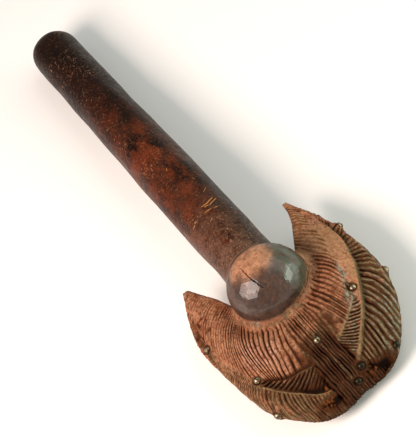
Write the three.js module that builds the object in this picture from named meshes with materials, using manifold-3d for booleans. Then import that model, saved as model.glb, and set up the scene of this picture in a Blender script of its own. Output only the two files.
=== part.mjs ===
// A carved wooden sceptre: a round grip, a ball where the grip ends, and round the ball a crescent
// head with two horns, carved with two fronds whose barbs sweep towards the blunt front. Small
// domed nails are driven into the ridges and the rim.
//
// Millimetres. In the sceptre's own frame X runs along the grip towards the head, Y across it and
// Z towards the side that carries the ball; the origin is on the grip's axis under the ball.
// The finished group lies on the plane z = 0, on small worn flats under the head and the grip.
import * as THREE from "three";
import { mergeVertices } from "three/addons/utils/BufferGeometryUtils.js";
import Module from "manifold-3d";

const wasm = await Module();
wasm.setup();

// Grip
const gripLength = 369; // from the ball's centre to the far end
const gripEndRadius = 20.4;
const gripSwellRadius = 22.7; // the thickest place, a hand's width from the ball
const gripSwellAt = -120;
const gripNeckRadius = 21.7; // where it runs under the ball
const gripDomeLength = 19; // the worn round end
const gripDomePower = 2.5;
const gripLean = 0.3; // degrees the grip runs off to one side
const gripSides = 28;

// Ball
const ballRadii = new THREE.Vector3(28.5, 30, 29);
const ballRise = 5; // its centre above the grip's axis
const ballSides = 28;
const ballRows = 18;

// Head, seen from the ball's side. The rim runs from the middle of the blunt front to a horn's tip.
const rim = {
  right: [
    [96, 0, -38], [98.5, 20, -38], [93, 36, -35], [80, 50, -30], [61, 62, -24], [38, 68, -19],
    [8, 67.5, -15], [-25, 61, -12], [-45, 54.5, -10], [-60.5, 49.5, -9],
  ],
  left: [
    [96, 0, -38], [98, -17, -38], [94.5, -33.5, -34.5], [82, -48, -29], [67, -58.5, -24], [49, -63, -20],
    [14, -66.5, -15], [-8, -67, -13], [-34, -61.5, -11], [-62, -50.5, -9],
  ],
};
// The inner edge leaves the ball's side and runs to the same tip.
const innerEdge = {
  right: [[-16, 29, -2], [-32, 38.8, -4.5], [-47, 44.6, -6.5], [-60, 46.2, -8]],
  left: [[-15, -28.5, -2], [-28.5, -33, -4.5], [-43, -39, -6.5], [-60.5, -46.2, -8]],
};
const rootRadius = ballRadii.x - 8; // where the barbs start, hidden inside the ball
const rootAngle = 116; // degrees from the front round to where the inner edge leaves the ball
const rootHeight = 1;
const shoulder = 2.4; // how square the front face turns over into the rim
const underShoulder = 2.2;
// The underside runs in from the rim to this line down its middle, front first.
const underLine = [[40, 0, -43], [-26, 0, -28]];
const underLineShare = [0.45, 0.82]; // between these strands it leaves the middle for the horn
const hornThickness = [[0, 20], [0.62, 20], [0.8, 14], [0.92, 7], [1, 2.6]];
const lobeDrop = 10; // the two lobes hang below the middle
const halfOverlap = 1; // the head's two sides run past the middle into each other

// The raised field's outer edge and the fronds' midribs, seen from the ball's side.
const fieldEdge = {
  right: [
    [-33, 63], [-17, 58.8], [0, 57], [14, 54.6], [25, 52.5], [41, 43.5], [56, 33.6],
    [62.5, 25], [67, 16], [71, 6],
  ],
  left: [
    [-30, -60], [-6, -60], [23, -59], [50, -49.3], [59, -42.5], [64.5, -34], [67.5, -25],
    [69, -16], [71, -6],
  ],
};
const midrib = {
  right: [[-10, 61], [22, 54.4], [29, 52], [43.5, 47.3], [55.5, 41.2], [69, 30.4], [77, 19.4], [84, 9]],
  left: [[-10, -64], [30, -60], [54.6, -50.5], [62, -47.5], [70, -40.5], [78, -29.4], [80.5, -20], [84, -9]],
};
const fieldSwell = 1.6; // how far the field rises between the ball and its edge
const footValley = 4.6; // the hollow round the ball's foot
const footValleyWidth = 8;
const edgeStep = 3.2; // the drop from the field's edge to the frond behind it
const ribRise = 1.4;
const ribWidth = 2.2;
const vaneSwell = 1.5;
const frontStrip = 0.13; // share of each side that runs on, unbroken, to the blunt front
const stripDrop = 1.6; // how far it lies below the ends of the fronds
const stripGroove = 1.8; // and the cut between them
const barbs = 28; // on each side
const barbDepth = 1.4;
const strandSweep = new THREE.Vector2(0.3, 0.85); // how the barbs turn from outwards to forwards

// Where the grip widens into the back of the head: x, then how far the section reaches past the
// grip's own radius to each side, at the top and below.
const keelStations = [
  [-80, -13, -13, -13], [-72, -1, -3, -1], [-50, -0.4, -2, 2.2], [-28, 0.8, -4, 6.6], [-6, 2.2, -10, 12.8],
  [16, 3.2, -22, 18.4], [34, -3.8, -32, 20.4], [44, -15.8, -44, 14.4],
];
const keelSides = 16;

// Nails: the side, how far round from the front, how far out from the ball.
const nailHeadRadius = 2.9;
const nailHeadHeight = 2.7;
const nailShankRadius = 0.9;
const nailShankLength = 9;
const nailSink = 0.5; // how deep the head's underside is let into the wood
const nailClearance = 0.35;
const nailSides = 10;
const nailSeats = [
  ["middle", "left", 0.018, 0.61],
  ["right_ridge", "right", 0.412, 0.62],
  ["left_ridge", "left", 0.46, 0.735],
  ["right_horn", "right", 0.815, 0.96],
  ["right_rim_upper", "right", 0.61, 0.99],
  ["right_rim_lower", "right", 0.33, 0.985],
  ["left_horn", "left", 0.76, 0.77],
  ["left_rim", "left", 0.468, 0.99],
  ["front_strip", "right", 0.037, 0.97],
  ["right_frond_end", "right", 0.133, 0.92],
];

// Rest
const gripRestFromDome = 5; // how far short of the round end the grip touches
const wornFlat = 0.5; // how much is worn away where it lies

const colours = { wood: 0x6b3f28, nail: 0x8a7a58 };

const smoothstep = (low, high, x) => {
  const f = THREE.MathUtils.clamp((x - low) / (high - low), 0, 1);
  return f * f * (3 - 2 * f);
};

const curveOf = (points) =>
  new THREE.CatmullRomCurve3(points.map(([x, y, z = 0]) => new THREE.Vector3(x, y, z)), false, "centripetal");

// Straight lines between [place, value] pairs.
function along(table, place) {
  const after = Math.max(1, table.findIndex(([at]) => at >= place));
  const [[a, low], [b, high]] = [table[after - 1], table[after]];
  return low + ((high - low) * (place - a)) / (b - a);
}

// One side of the head. A strand is the path of one barb, from its root near the ball to the rim;
// s numbers the strands from the front (0) round to the horn's tip (1), and t runs out along one.
class HeadSide {
  constructor(name) {
    this.name = name;
    this.rim = curveOf(rim[name]);
    this.inner = curveOf([this.rootArc(1), ...innerEdge[name]]);
    this.edgePoints = curveOf(fieldEdge[name]).getPoints(60);
    this.ribPoints = curveOf(midrib[name]).getPoints(60);
    this.marks = this.findMarks();
  }

  rootArc(share) {
    const angle = THREE.MathUtils.degToRad(rootAngle) * share * (this.name === "right" ? 1 : -1);
    return [rootRadius * Math.cos(angle), rootRadius * Math.sin(angle), rootHeight];
  }

  root(s) {
    const onArc = 0.6; // the share of the strands that start at the ball
    if (s <= onArc) return new THREE.Vector3(...this.rootArc(s / onArc));
    return this.inner.getPointAt((s - onArc) / (1 - onArc));
  }

  rimPoint(s) {
    return this.rim.getPointAt(Math.pow(s, 1.5));
  }

  // A point of the strand in plan.
  plan(s, t) {
    const a = this.root(s);
    const b = this.rimPoint(s);
    const turnX = a.x + (b.x - a.x) * strandSweep.x;
    const turnY = a.y + (b.y - a.y) * strandSweep.y;
    const [wa, wt, wb] = [(1 - t) ** 2, 2 * t * (1 - t), t * t];
    return new THREE.Vector2(wa * a.x + wt * turnX + wb * b.x, wa * a.y + wt * turnY + wb * b.y);
  }

  // Where strand s crosses a line drawn on the head, as a share of the strand.
  crossing(s, line) {
    const steps = 80;
    let before = this.plan(s, 0);
    for (let i = 1; i <= steps; i++) {
      const after = this.plan(s, i / steps);
      for (let j = 1; j < line.length; j++) {
        const [p, q] = [line[j - 1], line[j]];
        const d = { x: after.x - before.x, y: after.y - before.y };
        const e = { x: q.x - p.x, y: q.y - p.y };
        const cross = d.x * e.y - d.y * e.x;
        const u = ((p.x - before.x) * e.y - (p.y - before.y) * e.x) / cross;
        const v = ((p.x - before.x) * d.y - (p.y - before.y) * d.x) / cross;
        if (u >= 0 && u <= 1 && v >= 0 && v <= 1) return (i - 1 + u) / steps;
      }
      before = after;
    }
    return undefined;
  }

  // The places of the field's edge and the midrib on every strand; strands that meet neither take
  // their neighbour's.
  findMarks() {
    const count = 2 * barbs;
    const marks = [];
    for (let k = 0; k <= count; k++) {
      marks.push({ edge: this.crossing(k / count, this.edgePoints), rib: this.crossing(k / count, this.ribPoints) });
    }
    for (const key of ["edge", "rib"]) {
      const first = marks.find((m) => m[key] !== undefined)[key];
      let last = first;
      for (const m of marks) {
        m[key] ??= last;
        last = m[key];
      }
    }
    for (const m of marks) {
      m.edge = Math.min(m.edge, 0.8);
      m.rib = THREE.MathUtils.clamp(m.rib, m.edge + 0.06, 0.9);
    }
    return marks;
  }

  mark(s, key) {
    const place = s * (this.marks.length - 1);
    const k = Math.min(Math.floor(place), this.marks.length - 2);
    return THREE.MathUtils.lerp(this.marks[k][key], this.marks[k + 1][key], place - k);
  }

  // The smooth face towards the ball's side.
  faceTop(s, t) {
    const p = this.plan(s, t);
    const low = this.rimPoint(s).z;
    const high = this.root(s).z;
    const fromFoot = (p.length() - ballRadii.y - 2) / footValleyWidth;
    const hollow = footValley * Math.exp(-fromFoot * fromFoot);
    const z = low + (high - low) * Math.sqrt(1 - Math.pow(t, shoulder)) - hollow;
    return new THREE.Vector3(p.x, p.y, z);
  }

  underRoot(s) {
    const middle = new THREE.Vector3(...underLine[0]).lerp(new THREE.Vector3(...underLine[1]), Math.min(1, s / 0.62));
    const horn = this.root(s);
    horn.z -= along(hornThickness, s);
    return middle.lerp(horn, smoothstep(...underLineShare, s));
  }

  // The underside, straight below the strand at the rim and drawn in to its own root.
  faceUnder(s, t) {
    const p = this.plan(s, t);
    const top = this.root(s);
    const low = this.underRoot(s);
    const drawn = (1 - t) ** 1.5;
    const rimZ = this.rimPoint(s).z;
    const lobes = lobeDrop * Math.sin(Math.PI * t) * smoothstep(0, 0.3, s) * (1 - smoothstep(0.5, 0.85, s));
    const z = low.z + (rimZ - low.z) * (1 - Math.sqrt(1 - Math.pow(t, underShoulder))) - lobes;
    return new THREE.Vector3(p.x + (low.x - top.x) * drawn, p.y + (low.y - top.y) * drawn, z);
  }

  // The outward direction of the smooth face, whichever side it is on.
  normal(face, s, t) {
    const step = 0.01;
    const [s0, s1] = [Math.max(0, s - step), Math.min(1, s + step)];
    const [t0, t1] = [Math.max(0, t - step), Math.min(0.999, t + step)];
    const ds = face.call(this, s1, t).sub(face.call(this, s0, t));
    const dt = face.call(this, s, t1).sub(face.call(this, s, t0));
    const n = dt.cross(ds).normalize();
    const wanted = face === this.faceTop ? 1 : -1;
    return n.z * wanted < 0 ? n.negate() : n;
  }
}

// The rows of points across a strand: where each lies, how far it stands off the smooth face and
// how deep the barbs are cut there.
function rowsAcross(side, s) {
  const edge = side.mark(s, "edge");
  const rib = side.mark(s, "rib");
  const frond = smoothstep(frontStrip - 0.03, frontStrip + 0.03, s) * (1 - smoothstep(0.82, 0.95, s));
  const bulk = 1 - smoothstep(0.8, 1, s) * 0.7; // the horn's tip is too slight for full relief
  const cutAtStrip = stripGroove * Math.exp(-(((s - frontStrip) / 0.022) ** 2));
  const strip = (stripDrop * (1 - smoothstep(frontStrip - 0.03, frontStrip + 0.03, s)) + cutAtStrip) * (1 - smoothstep(0.82, 0.95, s));
  const rows = [{ t: 0, off: 0, cut: 0 }];
  for (const share of [0.22, 0.42, 0.64, 0.85]) {
    rows.push({ t: edge * share, off: fieldSwell * Math.sin(Math.PI * share) * bulk, cut: share < 0.3 ? 0.6 : 1 });
  }
  const ribHalf = Math.min(ribWidth / 75, (rib - edge) / 3);
  rows.push({ t: edge, off: 0.4 * frond, cut: 0.35 + 0.5 * (1 - frond) });
  rows.push({ t: edge + 0.02, off: -edgeStep * frond, cut: 0.4 });
  rows.push({ t: rib - ribHalf, off: -edgeStep * 0.8 * frond, cut: 0.9 });
  rows.push({ t: rib, off: (ribRise - edgeStep * 0.7) * frond, cut: 0.25 + 0.6 * (1 - frond) });
  rows.push({ t: rib + ribHalf, off: -edgeStep * 0.7 * frond, cut: 0.6 });
  for (const share of [0.3, 0.58, 0.84]) {
    const t = rib + (1 - rib) * Math.sin((share * Math.PI) / 2);
    rows.push({ t, off: vaneSwell * Math.sin(Math.PI * share) * frond - strip, cut: 1 });
  }
  rows.push({ t: 1, off: 0, cut: 0.7 });
  return rows.map((row) => ({ ...row, cut: row.cut * bulk }));
}

const underRows = [
  { t: 0.955, cut: 0.8 }, { t: 0.8, cut: 0.7 }, { t: 0.55, cut: 0.15 }, { t: 0.28, cut: 0 }, { t: 0, cut: 0 },
];

// The ring of points of strand s, from its root over the face, round the rim and back underneath.
function strandRing(side, s, inGroove) {
  const ring = [];
  const shift = s > 0 ? 0 : side.name === "right" ? -halfOverlap : halfOverlap;
  for (const { t, off, cut } of rowsAcross(side, s)) {
    const n = t < 1 ? side.normal(side.faceTop, s, t) : rimNormal(side, s);
    ring.push(side.faceTop(s, t).addScaledVector(n, off - (inGroove ? barbDepth * cut : 0)));
  }
  for (const { t, cut } of underRows) {
    const n = side.normal(side.faceUnder, s, t);
    ring.push(side.faceUnder(s, t).addScaledVector(n, inGroove ? -barbDepth * cut : 0));
  }
  for (const p of ring) p.y += shift;
  if (s < underLineShare[1]) ring.at(-1).y -= side.name === "right" ? halfOverlap : -halfOverlap;
  return ring;
}

// At the rim the face stands upright, so its outward direction is level.
function rimNormal(side, s) {
  const step = 0.01;
  const d = side.rimPoint(Math.min(1, s + step)).sub(side.rimPoint(Math.max(0, s - step)));
  const n = new THREE.Vector3(-d.y, d.x, 0).normalize();
  return side.name === "right" ? n.negate() : n;
}

// A closed mesh over rings of equal length, with a fan over each end.
function loft(rings) {
  const around = rings[0].length;
  const points = rings.flat();
  const faces = [];
  for (let i = 0; i + 1 < rings.length; i++) {
    for (let j = 0; j < around; j++) {
      const k = (j + 1) % around;
      const [a, b, c, d] = [i * around + j, i * around + k, (i + 1) * around + k, (i + 1) * around + j];
      faces.push(a, b, c, a, c, d);
    }
  }
  for (const [ring, first, flip] of [[rings[0], 0, true], [rings.at(-1), points.length - around, false]]) {
    const centre = ring.reduce((sum, p) => sum.add(p), new THREE.Vector3()).divideScalar(around);
    points.push(centre);
    for (let j = 0; j < around; j++) {
      const [a, b] = [first + j, first + ((j + 1) % around)];
      faces.push(...(flip ? [b, a, points.length - 1] : [a, b, points.length - 1]));
    }
  }
  const made = new THREE.BufferGeometry().setFromPoints(points);
  made.setIndex(faces);
  return made;
}

function solidOf(geometry) {
  const bare = geometry.clone();
  bare.deleteAttribute("normal");
  bare.deleteAttribute("uv");
  const merged = mergeVertices(bare, 1e-4);
  const kept = [];
  const index = merged.index.array;
  for (let i = 0; i < index.length; i += 3) {
    const [a, b, c] = index.slice(i, i + 3);
    if (a !== b && b !== c && c !== a) kept.push(a, b, c);
  }
  const made = new wasm.Manifold(
    new wasm.Mesh({
      numProp: 3,
      vertProperties: merged.attributes.position.array,
      triVerts: new Uint32Array(kept),
    }),
  );
  if (made.volume() < 0) {
    return solidOf(turnedRound(merged, kept));
  }
  return made;
}

function turnedRound(geometry, index) {
  const turned = geometry.clone();
  const flipped = [];
  for (let i = 0; i < index.length; i += 3) flipped.push(index[i], index[i + 2], index[i + 1]);
  turned.setIndex(flipped);
  return turned;
}

function geometryOf(solid) {
  const mesh = solid.getMesh();
  const made = new THREE.BufferGeometry();
  made.setAttribute("position", new THREE.BufferAttribute(Float32Array.from(mesh.vertProperties), 3));
  made.setIndex(new THREE.BufferAttribute(Uint32Array.from(mesh.triVerts), 1));
  made.computeVertexNormals();
  return made;
}

const sides = { right: new HeadSide("right"), left: new HeadSide("left") };

function headSideGeometry(side) {
  const rings = [];
  const count = 2 * barbs;
  for (let k = 0; k <= count; k++) rings.push(strandRing(side, k / count, k % 2 === 1));
  return loft(rings);
}

// The grip's radius at x, which is negative along the grip.
function gripRadius(x) {
  const end = -gripLength;
  const swell = Math.exp(-(((x - gripSwellAt) / 75) ** 2));
  const base = THREE.MathUtils.mapLinear(x, end, 0, gripEndRadius, gripNeckRadius - 0.3);
  const plain = base + (gripSwellRadius - base) * swell * 0.9;
  const inDome = THREE.MathUtils.clamp((end + gripDomeLength - x) / gripDomeLength, 0, 1);
  return plain * Math.pow(1 - Math.pow(inDome, gripDomePower), 1 / gripDomePower);
}

function gripGeometry() {
  const profile = [];
  const domeSteps = 7;
  for (let i = 0; i <= domeSteps; i++) {
    const x = -gripLength + gripDomeLength * (1 - Math.cos((i / domeSteps) * (Math.PI / 2)));
    profile.push(new THREE.Vector2(i ? gripRadius(x) : 0, x));
  }
  const steps = 14;
  const start = -gripLength + gripDomeLength;
  for (let i = 1; i <= steps; i++) {
    const x = start * (1 - i / steps);
    profile.push(new THREE.Vector2(gripRadius(x), x));
  }
  profile.push(new THREE.Vector2(0, 0));
  const made = new THREE.LatheGeometry(profile, gripSides);
  made.rotateZ(-Math.PI / 2);
  made.rotateZ(THREE.MathUtils.degToRad(gripLean));
  return made;
}

function ballGeometry() {
  const made = new THREE.SphereGeometry(1, ballSides, ballRows);
  made.rotateX(Math.PI / 2);
  made.scale(ballRadii.x, ballRadii.y, ballRadii.z);
  made.translate(0, 0, ballRise);
  return made;
}

function keelGeometry() {
  const rings = keelStations.map(([x, wider, higher, deeper]) => {
    const ring = [];
    const radius = gripRadius(Math.min(x, 0));
    const half = radius + wider;
    const top = radius + higher;
    const bottom = -radius - deeper;
    for (let j = 0; j < keelSides; j++) {
      const angle = (j / keelSides) * 2 * Math.PI;
      const z = (top + bottom) / 2 + ((top - bottom) / 2) * Math.sin(angle);
      ring.push(new THREE.Vector3(x, half * Math.cos(angle), z));
    }
    return ring;
  });
  return loft(rings);
}

// How the whole sceptre lies: turned about Y until the grip's end and the head's lowest place
// touch one plane.
function restOf(whole) {
  const x = -gripLength + gripDomeLength + gripRestFromDome;
  const depth = gripRadius(x);
  const points = whole.getMesh().vertProperties;
  let tilt = 0;
  for (let i = 0; i < points.length; i += 3) {
    if (points[i] > 0) tilt = Math.max(tilt, Math.atan2(-points[i + 2] - depth, points[i] - x));
  }
  return { tilt, lift: depth * Math.cos(tilt) - x * Math.sin(tilt) - wornFlat };
}

function floorGeometry({ tilt, lift }) {
  const size = 3 * gripLength;
  const made = new THREE.BoxGeometry(size, size, size);
  made.translate(0, 0, -size / 2 - lift);
  made.rotateY(tilt);
  return made;
}

function nailProfile() {
  const steps = 3;
  const points = [new THREE.Vector2(0, -nailShankLength), new THREE.Vector2(nailShankRadius, -nailShankLength + 1.5)];
  points.push(new THREE.Vector2(nailShankRadius, -nailSink));
  for (let i = 0; i <= steps; i++) {
    const angle = (i / steps) * (Math.PI / 2);
    const y = -nailSink + nailHeadHeight * Math.sin(angle);
    points.push(new THREE.Vector2(i < steps ? nailHeadRadius * Math.cos(angle) : 0, y));
  }
  return points;
}

function seatOf([, sideName, s, t]) {
  const side = sides[sideName];
  const n = side.normal(side.faceTop, s, t);
  const off = along(rowsAcross(side, s).map((row) => [row.t, row.off]), t);
  return { at: side.faceTop(s, t).addScaledVector(n, off), direction: n };
}

function placeNail(object, seat) {
  object.quaternion.setFromUnitVectors(new THREE.Vector3(0, 1, 0), seat.direction);
  object.position.copy(seat.at);
  object.updateMatrix();
  return object;
}

// The hole for a nail's shank and the shallow seat for its head.
function nailHole(seat) {
  const [hole, depth] = [nailShankRadius + nailClearance, nailShankLength + nailClearance];
  const [pocket, floor] = [nailHeadRadius + nailClearance, -nailSink - nailClearance];
  const top = nailHeadHeight + 2;
  const profile = [[0, -depth], [hole, -depth], [hole, floor], [pocket, floor], [pocket, top], [0, top]];
  const made = new THREE.LatheGeometry(profile.map(([x, y]) => new THREE.Vector2(x, y)), nailSides);
  return made.applyMatrix4(placeNail(new THREE.Object3D(), seat).matrix);
}

const whole = solidOf(headSideGeometry(sides.right))
  .add(solidOf(headSideGeometry(sides.left)))
  .add(solidOf(keelGeometry()))
  .add(solidOf(gripGeometry()))
  .add(solidOf(ballGeometry()));
const rest = restOf(whole);
let worn = whole.subtract(solidOf(floorGeometry(rest)));
for (const nail of nailSeats) worn = worn.subtract(solidOf(nailHole(seatOf(nail))));

const wood = new THREE.Mesh(
  geometryOf(worn),
  new THREE.MeshStandardMaterial({ color: colours.wood, roughness: 0.55, metalness: 0 }),
);
wood.name = "carved_wood";

const sceptre = new THREE.Group();
sceptre.add(wood);
for (const nail of nailSeats) {
  const mesh = new THREE.Mesh(
    new THREE.LatheGeometry(nailProfile(), nailSides),
    new THREE.MeshStandardMaterial({ color: colours.nail, roughness: 0.35, metalness: 1 }),
  );
  mesh.name = `nail_${nail[0]}`;
  sceptre.add(placeNail(mesh, seatOf(nail)));
}
sceptre.rotation.y = -rest.tilt;
sceptre.position.z = rest.lift;

// The origin is under the middle of the box round the whole object.
const middle = new THREE.Box3().setFromObject(sceptre, true).getCenter(new THREE.Vector3());
sceptre.position.x -= middle.x;
sceptre.position.y -= middle.y;

const part = new THREE.Group();
part.add(sceptre);
export default part;
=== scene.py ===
import math
import bpy
import bmesh
import numpy as np
from mathutils import Matrix, Vector, noise


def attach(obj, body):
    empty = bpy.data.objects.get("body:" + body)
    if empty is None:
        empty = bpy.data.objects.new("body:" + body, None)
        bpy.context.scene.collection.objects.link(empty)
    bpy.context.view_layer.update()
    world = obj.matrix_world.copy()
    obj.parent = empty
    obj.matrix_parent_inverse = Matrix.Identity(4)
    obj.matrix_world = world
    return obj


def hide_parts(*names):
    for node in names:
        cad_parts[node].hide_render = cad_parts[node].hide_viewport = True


# A carved wooden sceptre, lying on a pale floor. Shapes are laid out in the sceptre's own
# millimetres: x along the grip towards the head, y across it, z towards the ball's side, with the
# origin on the grip's axis under the ball. Each piece is turned to the frame at the end.

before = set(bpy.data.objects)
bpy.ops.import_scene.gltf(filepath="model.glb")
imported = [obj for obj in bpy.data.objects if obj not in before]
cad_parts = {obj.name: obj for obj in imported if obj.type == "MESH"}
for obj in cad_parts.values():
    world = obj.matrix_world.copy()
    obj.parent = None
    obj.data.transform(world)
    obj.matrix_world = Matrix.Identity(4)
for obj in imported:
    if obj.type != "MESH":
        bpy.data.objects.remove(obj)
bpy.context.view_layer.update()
scene = bpy.context.scene

lying = {
    "tilt": 0.0646997,  # radians the grip rises towards the head
    "lift": 42.2283,  # height of the grip's axis under the ball
    "centre": (133.724, -0.743),  # from there to the middle of the whole object
}
toFrame = (Matrix.Scale(0.001, 4)
           @ Matrix.Translation((lying["centre"][0], lying["centre"][1], lying["lift"]))
           @ Matrix.Rotation(-lying["tilt"], 4, "Y"))


# camera and the directions of its picture, at the photograph's angle

cameraSpec = {
    "target": (-93.4, 0.0, 0.0),
    "above": 45.0,  # degrees above the grip's axis, seen from the head's end
    "distance": 1500.0,
    "lens": 168.69,
    "alongInView": (0.67, 0.742),  # how the grip's direction runs in the picture, right and down
}


def viewAxes(spec):
    up = math.radians(spec["above"])
    back = Vector((math.cos(up), 0, math.sin(up)))
    along = Vector((math.sin(up), 0, -math.cos(up)))
    run = Vector(spec["alongInView"]).normalized()
    right = along * run.x + Vector((0, 1, 0)) * run.y
    down = along * run.y - Vector((0, 1, 0)) * run.x
    return right, -down, back


def makeCamera(spec):
    right, up, back = viewAxes(spec)
    data = bpy.data.cameras.new("camera")
    data.lens = spec["lens"]
    data.sensor_width = 36
    data.clip_start = 0.05
    data.clip_end = 20
    camera = bpy.data.objects.new("camera", data)
    scene.collection.objects.link(camera)
    turn = Matrix((right, up, back)).transposed().to_4x4()
    placed = toFrame @ Matrix.Translation(Vector(spec["target"]) + back * spec["distance"]) @ turn
    where, facing, size = placed.decompose()
    camera.matrix_world = Matrix.Translation(where) @ facing.to_matrix().to_4x4()
    scene.camera = camera


makeCamera(cameraSpec)
print("camera placed")


# helpers

def smooth(low, high, x):
    f = np.clip((np.asarray(x, float) - low) / (high - low), 0, 1)
    return f * f * (3 - 2 * f)


def fade(low, high, x):
    return 1 - smooth(low, high, x)


def hump(x, middle, width):
    return np.exp(-(((np.asarray(x, float) - middle) / width) ** 2))


def table(pairs, x):
    at, values = zip(*pairs)
    return np.interp(x, at, values)


def blend(share, a, b):
    return a + (b - a) * share


def cloud(points, size, seed):
    # soft random values from -1 to 1 at points in millimetres
    offset = Vector((seed * 17.3, seed * 5.1, seed * 9.7))
    return np.array([noise.noise(Vector(p) / size + offset) for p in points])


def curveThrough(points, fine=60):
    # a smooth curve through a few points, with the share of its length at each sample
    given = np.array([tuple(p) + (0,) * (3 - len(p)) for p in points], float)
    given = np.vstack([2 * given[0] - given[1], given, 2 * given[-1] - given[-2]])
    samples = []
    f = np.linspace(0, 1, fine, endpoint=False)[:, None]
    for a, b, c, d in zip(given, given[1:], given[2:], given[3:]):
        ab, bc, cd = (np.linalg.norm(q - p) ** 0.5 for p, q in ((a, b), (b, c), (c, d)))
        leave = ((b - a) / ab - (c - a) / (ab + bc) + (c - b) / bc) * bc
        arrive = ((c - b) / bc - (d - b) / (bc + cd) + (d - c) / cd) * bc
        samples.append(b + leave * f + (3 * (c - b) - 2 * leave - arrive) * f ** 2
                       + (2 * (b - c) + leave + arrive) * f ** 3)
    samples = np.vstack(samples + [given[-2][None, :]])
    run = np.concatenate([[0], np.cumsum(np.linalg.norm(np.diff(samples, axis=0), axis=1))])
    return run / run[-1], samples


def atShare(curve, share):
    shares, points = curve
    return np.stack([np.interp(share, shares, points[:, k]) for k in range(3)], -1)


def places(bm):
    return np.array([v.co[:] for v in bm.verts])


def moveTo(bm, points):
    for v, p in zip(bm.verts, points):
        v.co = p


def setLayer(bm, name, values):
    layer = bm.verts.layers.float.get(name) or bm.verts.layers.float.new(name)
    for v, value in zip(bm.verts, values):
        v[layer] = float(value)


def getLayer(bm, name):
    layer = bm.verts.layers.float[name]
    return np.array([v[layer] for v in bm.verts])


def closeHoles(bm):
    bmesh.ops.holes_fill(bm, edges=[e for e in bm.edges if e.is_boundary])


def meshObject(name, bm):
    bmesh.ops.recalc_face_normals(bm, faces=bm.faces)
    mesh = bpy.data.meshes.new(name)
    bm.to_mesh(mesh)
    bm.free()
    mesh.shade_smooth()
    made = bpy.data.objects.new(name, mesh)
    scene.collection.objects.link(made)
    return made


def makeSleeve(name, spec, placeOf):
    # a closed sleeve along x; placeOf turns angles round it and shares along it into places
    bm = bmesh.new()
    bmesh.ops.create_grid(bm, x_segments=spec["around"], y_segments=spec["along"], size=0.5)
    flat = places(bm) + 0.5
    moveTo(bm, placeOf(flat[:, 0] * 2 * math.pi, flat[:, 1]))
    bmesh.ops.remove_doubles(bm, verts=bm.verts, dist=0.001)
    closeHoles(bm)
    return meshObject(name, bm)


# the head: strands run from the ball's foot (0) to the rim (1), round each side from the blunt
# front (0) to the horn's tip (1)

headSpec = {
    "rim": {
        1: [(96, 0, -38), (98.5, 20, -38), (93, 36, -35), (80, 50, -30), (61, 62, -24), (38, 68, -19),
            (8, 67.5, -15), (-25, 61, -12), (-45, 54.5, -10), (-60.5, 49.5, -9)],
        -1: [(96, 0, -38), (98, -17, -38), (94.5, -33.5, -34.5), (82, -48, -29), (67, -58.5, -24),
             (49, -63, -20), (14, -66.5, -15), (-8, -67, -13), (-34, -61.5, -11), (-62, -50.5, -9)],
    },
    "inner": {
        1: [(-16, 29, -2), (-32, 38.8, -4.5), (-47, 44.6, -6.5), (-60, 46.2, -8)],
        -1: [(-15, -28.5, -2), (-28.5, -33, -4.5), (-43, -39, -6.5), (-60.5, -46.2, -8)],
    },
    "rootRadius": 20.5,
    "rootAngle": 116,  # degrees round the ball to where the horn's inner edge leaves it
    "rootHeight": 1.0,
    "shoulder": 2.4,
    "underShoulder": 2.2,
    "underLine": ((40, 0, -43), (-26, 0, -28)),
    "lobeDrop": 10.0,
    "hollow": (4.6, 3, 8),  # round the ball: depth, then how far out its middle lies and how wide it is
    "fillet": (4.6, 2.1),  # at the ball's foot: height and width
    "hornThickness": [(0, 20), (0.62, 20), (0.8, 14), (0.92, 7), (1, 2.6)],
    "columns": 500,
    "frontRows": 64,
    "underRows": 12,
    "overlap": 1.0,  # the two sides run this far into each other
}

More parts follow.
